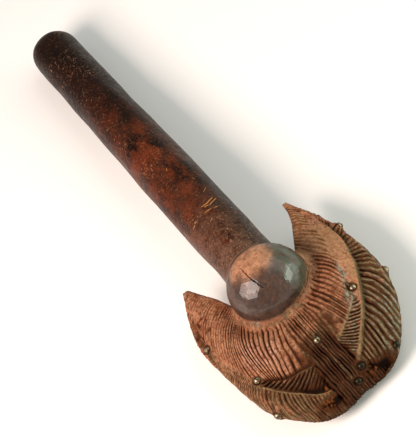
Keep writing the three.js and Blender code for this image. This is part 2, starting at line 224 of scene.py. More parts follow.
frondSpec = {
    # where the raised field ends, and where the midrib or the drop behind the worn band runs
    "edge": {
        1: [(0, 0.73), (0.14, 0.71), (0.18, 0.687), (0.24, 0.667), (0.29, 0.653), (0.35, 0.64),
            (0.41, 0.6), (0.46, 0.53), (0.54, 0.493), (0.65, 0.447), (0.75, 0.38), (0.83, 0.3),
            (0.92, 0.3), (1, 0.4)],
        -1: [(0, 0.73), (0.16, 0.72), (0.24, 0.713), (0.33, 0.727), (0.4, 0.733), (0.49, 0.733),
             (0.54, 0.727), (0.64, 0.733), (0.72, 0.707), (0.8, 0.62), (0.9, 0.5), (1, 0.5)],
    },
    "rib": {
        1: [(0, 0.89), (0.16, 0.873), (0.21, 0.833), (0.26, 0.787), (0.32, 0.747), (0.38, 0.713),
            (0.43, 0.68), (0.49, 0.653), (0.58, 0.633), (0.69, 0.607), (0.78, 0.547), (0.83, 0.52),
            (0.92, 0.6), (1, 0.8)],
        -1: [(0, 0.93), (0.22, 0.9), (0.26, 0.88), (0.31, 0.84), (0.36, 0.82), (0.4, 0.807),
             (0.45, 0.785), (0.51, 0.793), (0.6, 0.833), (0.71, 0.867), (0.78, 0.85), (0.9, 0.8), (1, 0.8)],
    },
    # how far the barbs lean along the side on their way out
    "fieldLean": {
        1: [(0, 0), (0.08, 0.12), (0.15, 0.2), (0.3, 0.05), (0.37, 0), (0.46, -0.15), (0.52, -0.25),
            (0.58, -0.36), (0.64, -0.28), (0.7, -0.2), (0.8, -0.12), (1, 0)],
        -1: [(0, 0), (0.1, 0.12), (0.25, 0.1), (0.35, 0), (0.45, -0.18), (0.52, -0.28), (0.6, -0.17),
             (0.68, -0.1), (0.8, -0.05), (1, 0)],
    },
    "innerLean": {
        1: [(0, 0), (0.06, 0), (0.14, 0.5), (0.30, 0.5), (0.44, 0), (1, 0)],
        -1: [(0, 0), (0.08, 0), (0.16, 0.5), (0.33, 0.5), (0.5, 0), (1, 0)],
    },
    "outerLean": {
        1: [(0, 0), (0.12, -0.2), (0.25, -0.15), (0.35, 0), (0.5, 0.05), (0.6, 0.23), (0.85, 0.23), (1, 0)],
        -1: [(0, 0), (0.3, 0), (0.45, 0.1), (0.6, 0.28), (0.8, 0.28), (1, 0)],
    },
    # how closely the barbs stand, counted for a whole side
    "fieldBarbs": {
        1: [(0, 30), (0.6, 30), (0.75, 37), (1, 48)],
        -1: [(0, 29), (0.43, 29), (0.5, 45), (0.57, 60), (1, 60)],
    },
    "outerBarbs": {
        1: [(0, 40), (0.5, 40), (0.65, 55), (1, 58)],
        -1: [(0, 58), (0.42, 64), (0.52, 76), (1, 80)],
    },
    "innerPitch": 0.026,
    "innerSlope": {1: 1.12, -1: 0.95},
    "stripPitch": 2.15,  # mm between the long cuts of the blunt front
    "stripEnds": {1: 0.135, -1: 0.172},
    "barbDepth": 1.3,
    "swell": 1.6,
    "outerSwell": 1.5,
    "step": {1: 3.6, -1: 1.5},  # from the midrib down to the outer barbs
    "innerDrop": {1: 0.7, -1: 0.3},
    # how deep the inner vane sinks towards the midrib
    "innerSunk": {1: [(0, 1.0), (1, 1.0)], -1: [(0, 3.3), (0.26, 3.3), (0.36, 1.8), (0.45, 0.6), (1, 0.6)]},
    "thinLine": {1: 0.55, -1: -0.7},  # a raised line on one side, a cut one on the other
    "gapDepth": {1: 2.4, -1: 3.4},
    # where the frond ends over its hollow
    "endPlace": {
        1: [(0, 0.9), (0.12, 0.918), (0.146, 0.935), (0.19, 0.966), (0.24, 0.986), (0.3, 1.0), (1, 1.0)],
        -1: [(0, 0.962), (1, 0.962)],
    },
    "endDepth": {1: 3.8, -1: 1.7},
    "endWidth": {1: 0.03, -1: 0.026},
    # the shares round the side over which a worn band takes the inner vane's place, and gives way again
    "bandFrom": {1: (0.36, 0.43), -1: (0.44, 0.52)},
    "bandTo": {1: (0.74, 0.86), -1: (0.68, 0.80)},
    # mm from the ball to the roots of the barbs, and how softly they begin
    "begins": {
        1: [(0.08, 1.9), (0.2, 1.1), (0.35, 1.5), (0.5, 5.0), (1, 5.5)],
        -1: [(0.08, 1.9), (0.2, 1.2), (1, 1.2)],
    },
    "beginWidth": {1: 2.6, -1: 3.4},
    "innerSharp": {1: 2.1, -1: 1.5},
    "innerDeep": {1: 1.15, -1: 1.7},
    # how dark the outer barbs are made, from the blunt front to the horn's tip
    "outerDark": {
        1: [(0, 1.1), (0.3, 0.85), (0.55, 0.66), (0.78, 0.5), (0.86, 0.1), (1, 0)],
        -1: [(0, 0.85), (0.45, 0.62), (0.7, 0.45), (0.85, 0.1), (1, 0)],
    },
    # chips: share round, share out, radius, depth
    "chips": {
        1: [(0.17, 0.965, 6.0, 1.5), (0.80, 0.13, 3.0, 0.8), (0.02, 0.97, 5.0, 0.9)],
        -1: [(0.237, 0.955, 7.5, 1.3), (0.757, 0.10, 6.0, 1.1), (0.79, 0.2, 3.5, 0.8),
             (0.205, 0.90, 4.0, 1.4)],
    },
}


def frondOn(hand):
    # the fronds' values for one side
    return {name: value[hand] if isinstance(value, dict) else value for name, value in frondSpec.items()}


def headSide(hand, spec):
    turn = math.radians(spec["rootAngle"]) * hand
    leave = (spec["rootRadius"] * math.cos(turn), spec["rootRadius"] * math.sin(turn), spec["rootHeight"])
    return {
        "hand": hand,
        "rim": curveThrough(spec["rim"][hand]),
        "inner": curveThrough([leave] + spec["inner"][hand]),
    }


def rootOf(side, s):
    spec = headSpec
    angle = math.radians(spec["rootAngle"]) * np.clip(s / 0.6, 0, 1) * side["hand"]
    onArc = np.stack([spec["rootRadius"] * np.cos(angle), spec["rootRadius"] * np.sin(angle),
                      np.full_like(angle, spec["rootHeight"])], -1)
    onHorn = atShare(side["inner"], np.clip((s - 0.6) / 0.4, 0, 1))
    return np.where((s <= 0.6)[:, None], onArc, onHorn)


def rimOf(side, s):
    return atShare(side["rim"], s ** 1.5)


def planOf(side, s, t):
    a = rootOf(side, s)
    b = rimOf(side, s)
    bend = a + (b - a) * np.array([0.3, 0.85, 0])
    t = t[:, None]
    return (1 - t) ** 2 * a + 2 * t * (1 - t) * bend + t ** 2 * b


def ballDistance(p):
    # millimetres from the ball's foot, seen from its side
    spec = ballSpec
    return (np.hypot(p[:, 0] / spec["foot"][0], p[:, 1] / spec["foot"][1]) * spec["meanRadius"]
            - spec["meanRadius"])


def upperFace(side, s, t):
    # the smooth face towards the ball's side, hollowed round the ball and filled at its foot
    p = planOf(side, s, t)
    low = rimOf(side, s)[:, 2]
    high = rootOf(side, s)[:, 2]
    fromBall = ballDistance(p)
    depth, middle, width = headSpec["hollow"]
    hollow = depth * hump(fromBall, middle, width)
    height, width = headSpec["fillet"]
    fillet = height * np.exp(-np.clip(fromBall + 0.6, 0, 30) / width) * smooth(-26, -12, p[:, 0])
    p[:, 2] = low + (high - low) * np.sqrt(1 - t ** headSpec["shoulder"]) - hollow + fillet
    return p


def underRoot(side, s):
    front, rear = (np.array(q, float) for q in headSpec["underLine"])
    middle = front + (rear - front) * np.clip(s / 0.62, 0, 1)[:, None]
    horn = rootOf(side, s)
    horn[:, 2] -= table(headSpec["hornThickness"], s)
    return blend(smooth(0.45, 0.82, s)[:, None], middle, horn)


def underFace(side, s, t):
    p = planOf(side, s, t)
    top = rootOf(side, s)
    low = underRoot(side, s)
    rim = rimOf(side, s)[:, 2]
    drawn = (1 - t) ** 1.5
    lobes = headSpec["lobeDrop"] * np.sin(math.pi * t) * smooth(0, 0.3, s) * fade(0.5, 0.85, s)
    p[:, 0] += (low[:, 0] - top[:, 0]) * drawn
    p[:, 1] += (low[:, 1] - top[:, 1]) * drawn
    p[:, 2] = low[:, 2] + (rim - low[:, 2]) * (1 - np.sqrt(1 - t ** headSpec["underShoulder"])) - lobes
    return p


def outwards(side, face, s, t, up):
    s0, s1 = np.clip(s - 0.006, 0, 1), np.clip(s + 0.006, 0, 1)
    t0, t1 = np.clip(t - 0.01, 0, 0.999), np.clip(t + 0.01, 0, 0.999)
    n = np.cross(face(side, s, t1) - face(side, s, t0), face(side, s1, t) - face(side, s0, t))
    n /= np.linalg.norm(n, axis=1)[:, None] + 1e-9
    return n * np.where(n[:, 2] * up < 0, -1, 1)[:, None]


def strandPlaces(hand, column, row):
    # rows crowd at the edge, the inner vane and the midrib; columns follow the barbs
    spec = frondOn(hand)
    s = column.copy()
    for step in range(6):
        edge, rib = table(spec["edge"], s), table(spec["rib"], s)
        mark = np.interp(row, [0, 0.30, 0.36, 0.575, 0.68, 1], [0, 0.97, 1.09, 1.92, 2.13, 3])
        t = np.where(mark < 1, mark * edge,
                     np.where(mark < 2, edge + (mark - 1) * (rib - edge), rib + (mark - 2) * (1 - rib)))
        lean = (table(spec["fieldLean"], column) * (np.minimum(t, edge) - 0.35)
                + table(spec["innerLean"], column) * np.clip(t - edge, 0, rib - edge)
                + table(spec["outerLean"], column) * np.clip(t - rib, 0, 1))
        s = np.clip(column + lean, 0, 1)
    return s, t, edge, rib


def barbsPassed(pairs, share):
    fine = np.linspace(0, 1, 400)
    return np.interp(share, fine, np.concatenate([[0], np.cumsum(table(pairs, fine)[1:] * np.diff(fine))]))


def carve(phase, seed, sharp):
    # 1 at the bottom of a cut and 0 on top of a barb; every cut has its own depth and breadth
    rng = np.random.default_rng(seed)
    depths = rng.uniform(0.62, 1.22, 400)
    narrow = rng.uniform(0.75, 1.35, 400)
    nearest = np.round(phase)
    index = nearest.astype(int) % 400
    fromCut = np.clip(np.abs(phase - nearest) * 2, 0, 1)
    return (1 - fromCut) ** (sharp * narrow[index]) * depths[index]


def relief(side, column, s, t, edge, rib, base):
    # how far the wood stands off its smooth face in mm, then its cuts, rubbed places, painted highlights, and
    # where it is made darker, painted shadow included
    hand = side["hand"]
    spec = frondOn(hand)
    right = hand > 0
    tip = 1 - smooth(0.9, 1, s) * 0.6
    stripEnd = spec["stripEnds"]
    frond = smooth(stripEnd - 0.012, stripEnd + 0.012, s) * fade(0.80, 0.93, s)
    banded = smooth(*spec["bandFrom"], s) * fade(*spec["bandTo"], s)
    across = np.clip((t - edge) / (rib - edge), 0, 1)
    beyond = np.clip((t - rib) / (1 - rib), 0, 1)
    inField, inOuter = t < edge, t > rib
    pastStrip = smooth(stripEnd - 0.02, stripEnd + 0.02, s)
    inStrip = (1 - pastStrip) * smooth(0.5, 0.75, t)
    onHorn = smooth(0.64, 0.8, s)
    wander = (cloud(base, 13, 2) * 0.22 + cloud(base, 4.5, 3) * 0.13) * (1 + 1.1 * inStrip + 0.9 * onHorn)
    uneven = cloud(base, 6.5, 5) * 0.28 + cloud(base, 2.6, 6) * 0.16 + cloud(base, 1.2, 19) * 0.07
    coarse = cloud(base, 3.2, 26) * 0.34 + cloud(base, 1.8, 27) * 0.24
    uneven = uneven + np.maximum(onHorn, inStrip) * coarse

    # forms
    field = spec["swell"] * np.sin(math.pi * np.clip(t / edge, 0, 1)) * tip
    line = spec["thinLine"] * hump(t, edge, 0.011) * (1 - banded)
    sunk = table(spec["innerSunk"], s)
    inner = -spec["innerDrop"] * smooth(0, 0.14, across) - sunk * across ** 1.3
    between = blend(banded, inner, 0.7 * np.sin(math.pi * across) ** 0.7)
    start = -(1 - banded) * (1.7 if right else 0.5)
    step = spec["step"] * (1 - 0.35 * smooth(0.62, 0.8, s))
    outer = blend(smooth(0, 0.10, beyond), start, -step) * (1 - 0.5 * smooth(0.2, 0.9, beyond))
    outer = outer + spec["outerSwell"] * np.sin(math.pi * beyond)
    midrib = (0.8 + 0.7 * (1 - banded)) * hump(t, rib + (0 if right else 0.012), 0.016)
    off = np.where(inField, field, np.where(inOuter, outer, between) * frond) + (line + midrib) * frond
    # the front strip lies a little lower, with a deep cut where each frond laps over it
    gapAt = stripEnd + 0.013 * cloud(base, 7, 18) + 0.006 * cloud(base, 2.5, 28)
    gap = hump(s, gapAt, 0.012) * smooth(edge, edge + 0.12, t) * (1 - 0.6 * smooth(0.985, 1, t))
    gap = gap * np.clip(0.75 + 0.9 * cloud(base, 5, 29), 0.2, 1.1)
    lower = 0.9 * (1 - pastStrip) * smooth(0.62, 0.92, t)
    off = off - lower - spec["gapDepth"] * gap
    # the fronds end short of the rim, over a dark hollow
    endCut = pastStrip * fade(0.24, 0.32, s)
    endPlace = table(spec["endPlace"], s) + 0.008 * cloud(base, 6, 20)
    off = off - spec["endDepth"] * endCut * hump(t, endPlace, spec["endWidth"])
    off = off + uneven * tip

    # cuts
    foot = ballDistance(base)
    started = foot - table(spec["begins"], s) + 2.6 * cloud(base, 2.8, 8)
    started = smooth(0, spec["beginWidth"], started)
    level = smooth(0.07, 0.2, column)
    fieldPhase = blend(level, np.abs(base[:, 1]) / spec["stripPitch"],
                       barbsPassed(spec["fieldBarbs"], column)) + 0.5 + wander
    fieldSharp = blend(level, 1.2, blend(smooth(0.35, 0.55, t), 1.3, 2.2) if right else 2.7)
    fieldCut = carve(fieldPhase, 11 + hand, fieldSharp) * (1 + 0.5 * inStrip)
    if right:  # finer cuts below the first row of barbs
        splits = smooth(0.42, 0.5, t) * fade(0.34, 0.42, s)
        splits = np.maximum(splits, 0.45 * smooth(0.5, 0.7, s)) * level
        fieldCut = blend(splits * 0.65, fieldCut, carve(fieldPhase * 2 + 0.5, 21, 2.0))
    fadesOut = smooth(edge - 0.075, edge - 0.015, t) * banded * (1 if right else 0.6)
    fieldCut = fieldCut * started * (1 - fadesOut)
    if right:
        fieldCut = fieldCut * (1 - 0.8 * (1 - banded) * hump(t, edge, 0.013) * frond)
    bow = 0.012 * np.sin(math.pi * beyond) * fade(0.45, 0.6, s)
    atRib = s - table(spec["outerLean"], column) * np.clip(t - rib, 0, 1) - bow
    outerCut = carve(barbsPassed(spec["outerBarbs"], atRib) + 0.5 + wander, 31 + hand, 2.5)
    outerRow = outerCut * (1 - 0.45 * smooth(0.9, 1, t))
    outerCut = outerRow * np.maximum(0 if right else banded, smooth(0.06, 0.16, beyond))
    lobe = smooth(endPlace, endPlace + 0.014, t) * fade(0.26, 0.36, s)
    outerCut = blend(lobe, outerCut, carve(np.abs(base[:, 1]) / 2.3 + wander * 2, 15, 1.3))
    innerPhase = (spec["innerSlope"] * s - t) / spec["innerPitch"] + wander
    innerCut = carve(innerPhase, 41 + hand, spec["innerSharp"]) * spec["innerDeep"]
    innerCut = innerCut * (1 - banded) * smooth(0.03, 0.14, across) * fade(0.84, 0.96, across)
    if right:
        innerCut = innerCut * fade(0.35, 0.39, s)
    else:  # the outer barbs reach up to the field behind the leaf
        innerCut = np.maximum(innerCut, outerRow * banded * smooth(0.02, 0.3, across))
    plain = blend(frond, fieldCut, np.where(inField, fieldCut, np.where(inOuter, outerCut, innerCut)))
    patchy = np.clip(0.92 + (0.6 + (0.3 if right else 0.7) * onHorn) * cloud(base, 7, 7), 0.2, 1.2)
    soft = (1 - (0.15 if right else 0.4) * smooth(0.56, 0.68, s)) * (1 if right else 1 - 0.25 * inOuter)
    cut = plain * patchy * tip * soft
    pits = np.clip(2.2 * cloud(base, 3.4, 31) - 0.45, 0, 0.8) * (0.5 if right else 0.9) * onHorn
    cut = np.maximum(cut, pits)
    fineness = (30 / table(spec["fieldBarbs"], column)) ** 0.5
    fineness = np.where(inField, fineness, 0.85 if right else 0.7)
    off = off - spec["barbDepth"] * cut * fineness
    # on the left a thin cut line is darkened, and the sunk inner vane by the midrib is painted as shade
    if not right:
        cut = np.maximum(cut, 0.95 * hump(t, edge, 0.008) * frond * (1 - banded))
        shade = np.clip(sunk / 3, 0, 1) * 0.8 * smooth(0.45, 0.95, across)
        cut = np.maximum(cut, shade * (t < rib + 0.004) * frond)
    # the gap by the front strip and the hollows where the fronds end are painted dark as shade
    cut = np.maximum(cut, np.maximum(gap, 0.95 * endCut * hump(t, endPlace, 0.03 if right else 0.024)))

    # rubbed places
    rub = banded * frond * smooth(edge - 0.06, edge, t) * fade(0.0, 0.07, beyond)
    rub = rub * (0.75 if right else 0.3)
    ridges = np.maximum(hump(t, rib, 0.015), hump(t, edge, 0.008) * right)
    rub = np.maximum(rub, (0.7 if right else 0.4) * (1 - banded) * frond * ridges)
    rub = np.maximum(rub, 0.3 * smooth(0.9, 1, s))
    if right:
        rub = np.maximum(rub, 0.85 * smooth(0.46, 0.6, s) * inField * fade(0.88, 0.96, s))

    # how dark the wood is made: more towards the blunt front, the rim and the midrib, with painted shadow
    # under the midrib and in the hollows where the fronds end
    shadowUnderRib = fade(0.08, 0.22, beyond) * fade(0.7, 0.8, s)
    outerDark = table(spec["outerDark"], s) + (0.5 if right else 0.2) * shadowUnderRib
    innerDark = 0.5 if right else 0.5 + 0.5 * smooth(0.15, 0.6, across)
    innerDark = innerDark + 0.25 * fade(0.2, 0.35, s)
    innerDark = innerDark * fade(0.74, 0.84, s)
    lowField = smooth(0.3, 0.55, t) * fade(0.25, 0.45, s)
    fieldDark = 0.1 + (0.38 if right else 0.2) * lowField + 0.3 * fade(0.1, 0.2, s)
    innerDark = blend(banded, innerDark, 0.12 if right else 0.4)
    dark = np.where(inField, fieldDark, np.where(inOuter, outerDark, innerDark))
    stripDark = 0.42 + 1.1 * smooth(0.48, 0.7, t)
    dark = blend(smooth(stripEnd - 0.02, stripEnd + 0.01, s), stripDark, dark)
    # painted shadow in the hollow where each frond ends
    hollow = smooth(endPlace - 0.04, endPlace, t) * fade(0.24, 0.34, s)
    dark = np.maximum(dark, (1.7 if right else 0.8) * hollow)
    # ridges worn glossy; the same mask paints highlights into their colour
    if right:
        shine = smooth(0.24, 0.32, s) * fade(0.5, 0.62, s) * smooth(0.2, 0.45, beyond)
    else:
        shine = smooth(0.2, 0.32, s) * fade(0.44, 0.56, s)
        shine = shine * smooth(0.32, 0.44, t) * fade(0.58, 0.68, t)
    shine = shine * np.clip(0.7 + 0.8 * cloud(base, 6, 23), 0, 1)
    # a painted cool highlight along the field's edge by the nail, over darker wood
    if right:  # cool and pale along the field's edge by the nail
        coolHighlightPatch = hump(t, edge - 0.02, 0.055) * smooth(0.27, 0.34, s) * fade(0.47, 0.55, s)
        coolHighlightPatch = np.clip(1.5 * coolHighlightPatch * (0.9 + cloud(base, 4, 27)), 0, 1)
        onVane = (1 - banded) * frond * smooth(0.03, 0.2, across) * (t < rib - 0.01)
        shine = np.maximum(np.maximum(shine, coolHighlightPatch), 0.75 * onVane)
        dark = np.maximum(dark, 0.62 * coolHighlightPatch)
        rub = rub * (1 - 0.85 * coolHighlightPatch)
        cut = cut * (1 - 0.9 * coolHighlightPatch)

    # darker at the foot of the ball
    darkAtBallFoot = fade(1.2, 3.5 if right else 4.5, foot)
    dark = np.maximum(dark, 0.45 * darkAtBallFoot * np.clip(0.8 + cloud(base, 4, 30), 0, 1.2))

    # chips, where raw orange wood shows
    chip = 0 * s
    for at, out, radius, depth in spec["chips"]:
        centre = upperFace(side, np.array([at]), np.array([out]))[0]
        away = np.linalg.norm(base - centre, axis=1) + 2.6 * cloud(base, 3.2, 9)
        hit = fade(radius * 0.35, radius, away)
        chip = np.maximum(chip, hit * np.clip(0.45 + 1.3 * cloud(base, 2.1, 10), 0, 1))
        off = off - depth * hit * np.clip(0.55 + 0.9 * cloud(base, 2.4, 12), 0, 1.3)
    return off, {"cut": cut, "rub": rub, "dark": dark, "chip": chip, "shine": shine}


def makeHeadSide(hand):
    spec = headSpec
    side = headSide(hand, spec)
    rows = spec["frontRows"] + spec["underRows"]
    bm = bmesh.new()
    bmesh.ops.create_grid(bm, x_segments=spec["columns"], y_segments=rows, size=0.5)
    flat = places(bm)
    column = np.clip(flat[:, 0] + 0.5, 0, 1)
    row = np.clip(flat[:, 1] + 0.5, 0, 1) * rows
    onFront = row <= spec["frontRows"] + 0.01

    s, t, edge, rib = strandPlaces(hand, column, np.clip(row / spec["frontRows"], 0, 1))
    top = upperFace(side, s, t)
    off, marks = relief(side, column, s, t, edge, rib, top)
    topPlace = top + outwards(side, upperFace, s, np.minimum(t, 0.997), 1) * off[:, None]

    atRoot = strandPlaces(hand, column, 0 * column)[0]
    atRim = strandPlaces(hand, column, 0 * column + 1)[0]
    behind = np.clip((row - spec["frontRows"]) / spec["underRows"], 0, 1)
    lowT = np.sqrt(1 - behind ** 1.3)
    lowS = blend(lowT, atRoot, atRim)
    under = underFace(side, lowS, lowT)
    underCut = carve(28 * column + 0.5 + cloud(under, 12, 4) * 0.2, 51 + hand, 2.2)
    underCut = underCut * table([(0, 0), (0.35, 0), (0.6, 0.15), (0.85, 0.55), (1, 0.6)], lowT)
    underCut = underCut * (1 - smooth(0.84, 1, lowS) * 0.8)
    uneven = (0.3 * cloud(under, 8, 5) - 0.25) * (lowT < 0.98)
    facing = outwards(side, underFace, lowS, np.minimum(lowT, 0.997), -1)
    underPlace = under + facing * (uneven - underCut)[:, None]

    place = np.where(onFront[:, None], topPlace, underPlace)
    meets = (column < 1e-6) | ((row > rows - 0.5) & (lowS < 0.82))
    place[:, 1] -= np.where(meets, hand * spec["overlap"], 0)
    moveTo(bm, place)
    below = {"cut": underCut, "rub": 0, "dark": 0.7, "chip": 0, "shine": 0}
    for name, mark in marks.items():
        setLayer(bm, name, np.where(onFront, mark, below[name]))
    setLayer(bm, "strandS", column * 150 + 400 * (hand < 0))
    setLayer(bm, "strandT", np.where(onFront, t, 2 - lowT) * 65)

    # the wall at the root between the upper and the under face, then the two ends
    rowOf = {v: r for v, r in zip(bm.verts, row)}
    rootEdges = [e for e in bm.edges if e.is_boundary
                 and (max(rowOf[v] for v in e.verts) < 0.5 or min(rowOf[v] for v in e.verts) > rows - 0.5)]
    bmesh.ops.bridge_loops(bm, edges=rootEdges)
    closeHoles(bm)
    bmesh.ops.triangulate(bm, faces=[f for f in bm.faces if len(f.verts) > 4])
    return meshObject("headSide", bm)


# the grip

gripSpec = {
    "length": 368.7, "endRadius": 20.4, "swellRadius": 22.7, "swellAt": -120, "neckRadius": 21.4,
    "domeLength": 19, "domePower": 2.5, "domeRows": 0.12, "lean": 0.3, "around": 76, "along": 150,
    "taper": 369,  # length over which it narrows evenly
    "flatRadius": 22,  # radius at which the grip is unrolled to place its scratches
    # marks cut in the polish: places along the grip and degrees round it, then width and strength
    "scratches": [
        ([(-85.0, 85), (-84.8, 73), (-88.4, 55)], 0.36, 1.0),
        ([(-86.5, 50), (-82.3, 69), (-82.8, 80)], 0.32, 1.0),
        ([(-77.4, 60), (-78.2, 80), (-78.6, 99), (-78.4, 111), (-77.0, 127)], 0.3, 0.8),
        ([(-67.7, 91), (-69.3, 84)], 0.36, 0.7), ([(-101.8, 50), (-97.8, 61)], 0.32, 0.6),
        ([(-149.4, 34), (-147.6, 24)], 0.32, 0.5), ([(-152.3, 43), (-148.7, 33)], 0.32, 0.5),
        ([(-57.5, 88), (-53.8, 83)], 0.36, 0.35), ([(-48.3, 112), (-45.5, 113)], 0.3, 0.3),
        ([(-89.8, 152), (-87.7, 160)], 0.3, 0.4), ([(-140.1, 85), (-137.5, 88)], 0.5, 0.5),
        ([(-64.5, 77), (-63.8, 65)], 0.3, 0.4), ([(-115, 56), (-117, 59)], 0.5, 0.5),
        ([(-131, 120), (-127, 122)], 0.3, 0.4),
    ],
}


def gripRadius(x):
    spec = gripSpec
    base = spec["endRadius"] + (spec["neckRadius"] - spec["endRadius"]) * (x + spec["taper"]) / spec["taper"]
    plain = base + (spec["swellRadius"] - base) * hump(x, spec["swellAt"], 75) * 0.9
    inDome = np.clip((spec["domeLength"] - spec["length"] - x) / spec["domeLength"], 0, 1)
    return plain * (1 - inDome ** spec["domePower"]) ** (1 / spec["domePower"])


def gripPlaces(angle, share):
    spec = gripSpec
    dome = spec["domeRows"]  # share of the rows that make the round end
    straight = spec["length"] - spec["domeLength"]
    inDome = -spec["length"] + spec["domeLength"] * (1 - np.cos(share / dome * math.pi / 2))
    x = np.where(share < dome, inDome, -straight + straight * (share - dome) / (1 - dome))
    radius = gripRadius(x)
    plain = np.stack([x, radius * np.cos(angle), radius * np.sin(angle)], -1)
    # shallow knife facets and an uneven outline, kept inside the plain shape
    slow, quick = plain * np.array([0.5, 1, 1]), plain * np.array([0.22, 1, 1])
    lumps = cloud(slow, 19, 11) * 0.75 + cloud(quick, 7, 12) * 0.3 + cloud(quick, 2.6, 13) * 0.08
    radius = radius * (1 + (lumps - 0.55) / 22 * smooth(-spec["length"], -spec["length"] + 7, x))
    place = np.stack([x, radius * np.cos(angle), radius * np.sin(angle)], -1)
    place[:, 1] += x * math.tan(math.radians(spec["lean"]))
    return place


# the ball, cut with a knife in small flats

ballSpec = {
    "radii": (28.45, 29.95, 28.93), "foot": (28.5, 30), "meanRadius": 29, "rise": 5.0,
    "facets": 170, "facetDepth": 0.988, "unevenDepth": 0.0026,
    # the crack and the middle of the pale top, as directions from the ball's centre
    "crack": [(-0.107, -0.225, 0.968), (0.085, -0.218, 0.972), (0.292, -0.217, 0.932),
              (0.438, -0.185, 0.88), (0.574, -0.161, 0.803), (0.66, -0.13, 0.74)],
    "paleTop": (-0.2, 0.03, 0.98),
}


def makeBall():
    spec = ballSpec
    bm = bmesh.new()
    bmesh.ops.create_icosphere(bm, subdivisions=5, radius=1)
    k = np.arange(spec["facets"]) + 0.5
    z = 1 - 2 * k / spec["facets"]
    turn = k * math.pi * (3 - math.sqrt(5))
    rng = np.random.default_rng(4)
    cuts = np.stack([np.sqrt(1 - z * z) * np.cos(turn), np.sqrt(1 - z * z) * np.sin(turn), z], -1)
    cuts += rng.normal(0, 0.06, cuts.shape)
    cuts /= np.linalg.norm(cuts, axis=1)[:, None]
    depth = spec["facetDepth"] + rng.normal(0, spec["unevenDepth"], len(cuts))
    out = places(bm)
    reach = out @ cuts.T
    flatAt = np.where(reach > 0.5, depth / np.maximum(reach, 0.5), 9)
    radius = -np.log(np.exp(-900 * (flatAt - 1)).sum(1)) / 900 + 1
    place = out * np.minimum(radius, 1)[:, None] * np.array(spec["radii"])
    place[:, 2] += spec["rise"]
    moveTo(bm, place)
    return meshObject("ball", bm)


# the widened root of the grip under the head

rootSpec = {
    # x, then how far the section passes the grip's own radius to the side, on top and below
    "stations": [(-80, -13, -13, -13), (-72, -1, -3, -1), (-50, -0.4, -2, 2.2), (-28, 0.8, -4, 6.6),
                 (-6, 2.2, -10, 12.8), (16, 3.2, -22, 18.4), (34, -3.8, -32, 20.4), (44, -15.8, -44, 14.4)],
    "around": 48, "along": 36,
}


def rootPlaces(angle, share):
    stations = np.array(rootSpec["stations"], float)
    x = blend(share, stations[0, 0], stations[-1, 0])
    wider, higher, deeper = (np.interp(x, stations[:, 0], stations[:, k]) for k in (1, 2, 3))
    radius = gripRadius(np.minimum(x, 0)) - 0.3
    top, bottom = radius + higher, -radius - deeper
    z = (top + bottom) / 2 + (top - bottom) / 2 * np.sin(angle)
    return np.stack([x, (radius + wider) * np.cos(angle), z], -1)


def joinInto(first, others):
    for other in others:
        union = first.modifiers.new("union", "BOOLEAN")
        union.operation = "UNION"
        union.solver = "MANIFOLD"
        union.object = other
        bpy.context.view_layer.objects.active = first
        bpy.ops.object.modifier_apply(modifier=union.name)
        bpy.data.objects.remove(other)
    return first


# nails

nailSpec = {
    "headRadius": 2.85, "headHeight": 2.6, "sink": 0.5, "shankRadius": 0.9, "shankLength": 9.0, "sides": 28,
    "collar": 0.15,  # height of the dome's edge over the wood
    "seat": (3.0, 6.5),  # the wood is level out to here, and carved again from there
    "darkRing": (3.1, 0.55),
    # where each one is driven, and its direction
    "places": {
        "middle": (59.65, -0.66, -4.73, 0.323, 0.004, 0.946),
        "right_ridge": (44.39, 41.92, -6.56, 0.223, 0.153, 0.963),
        "left_ridge": (49.16, -49.87, -6.24, 0.264, -0.200, 0.943),
        "right_horn": (-9.92, 65.63, -10.67, -0.195, 0.978, 0.072),
        "right_rim_upper": (43.82, 67.45, -16.88, 0.209, 0.964, 0.163),
        "right_rim_lower": (91.08, 37.62, -27.58, 0.804, 0.439, 0.401),
        "left_horn": (-4.49, -62.84, -8.36, 0.006, -0.479, 0.878),
        "left_rim": (72.56, -55.55, -21.47, 0.586, -0.758, 0.286),
        "front_strip": (91.69, 1.65, -28.48, 0.849, -0.114, 0.517),
        "right_frond_end": (87.90, 9.98, -22.76, 0.679, -0.080, 0.730),
    },
}


def makeNail(name, place):
    spec = nailSpec
    bm = bmesh.new()
    # half an outline from the point of the shank to the top of the dome, spun round
    outline = [(0, -spec["shankLength"]), (spec["shankRadius"] * 0.3, -spec["shankLength"]),
               (spec["shankRadius"], -spec["shankLength"] + 1.5), (spec["shankRadius"], -spec["sink"]),
               (spec["headRadius"] * 0.94, -spec["sink"])]
    for k in range(11):
        a = k / 10 * math.pi / 2
        rise = spec["collar"] + (spec["headHeight"] - spec["collar"]) * math.sin(a)
        outline.append((spec["headRadius"] * math.cos(a), rise - spec["sink"]))
    last = bmesh.ops.create_vert(bm, co=(0, 0, outline[0][1]))["vert"]
    for radius, z in outline[1:]:
        last = bmesh.ops.extrude_vert_indiv(bm, verts=last)["verts"]
        last[0].co = (radius, 0, z)
    bmesh.ops.spin(bm, geom=bm.verts[:] + bm.edges[:], cent=(0, 0, 0), axis=(0, 0, 1), angle=2 * math.pi,
                   steps=spec["sides"], use_merge=True)
    bmesh.ops.remove_doubles(bm, verts=bm.verts, dist=0.001)
    seed = sum(map(ord, name)) % 50
    for v in bm.verts:  # hammered a little out of round
        v.co.x *= 0.97 + 0.06 * noise.noise(v.co / 2.2 + Vector((seed, 0, 0)))
        v.co.y *= 0.97 + 0.06 * noise.noise(v.co / 2.2 + Vector((0, seed, 0)))
    at, facing = Vector(place[:3]), Vector(place[3:]).normalized()
    turn = Vector((0, 0, 1)).rotation_difference(facing).to_matrix().to_4x4()
    bmesh.ops.transform(bm, matrix=toFrame @ Matrix.Translation(at) @ turn, verts=bm.verts)
    return meshObject("nail_" + name + "_shown", bm)


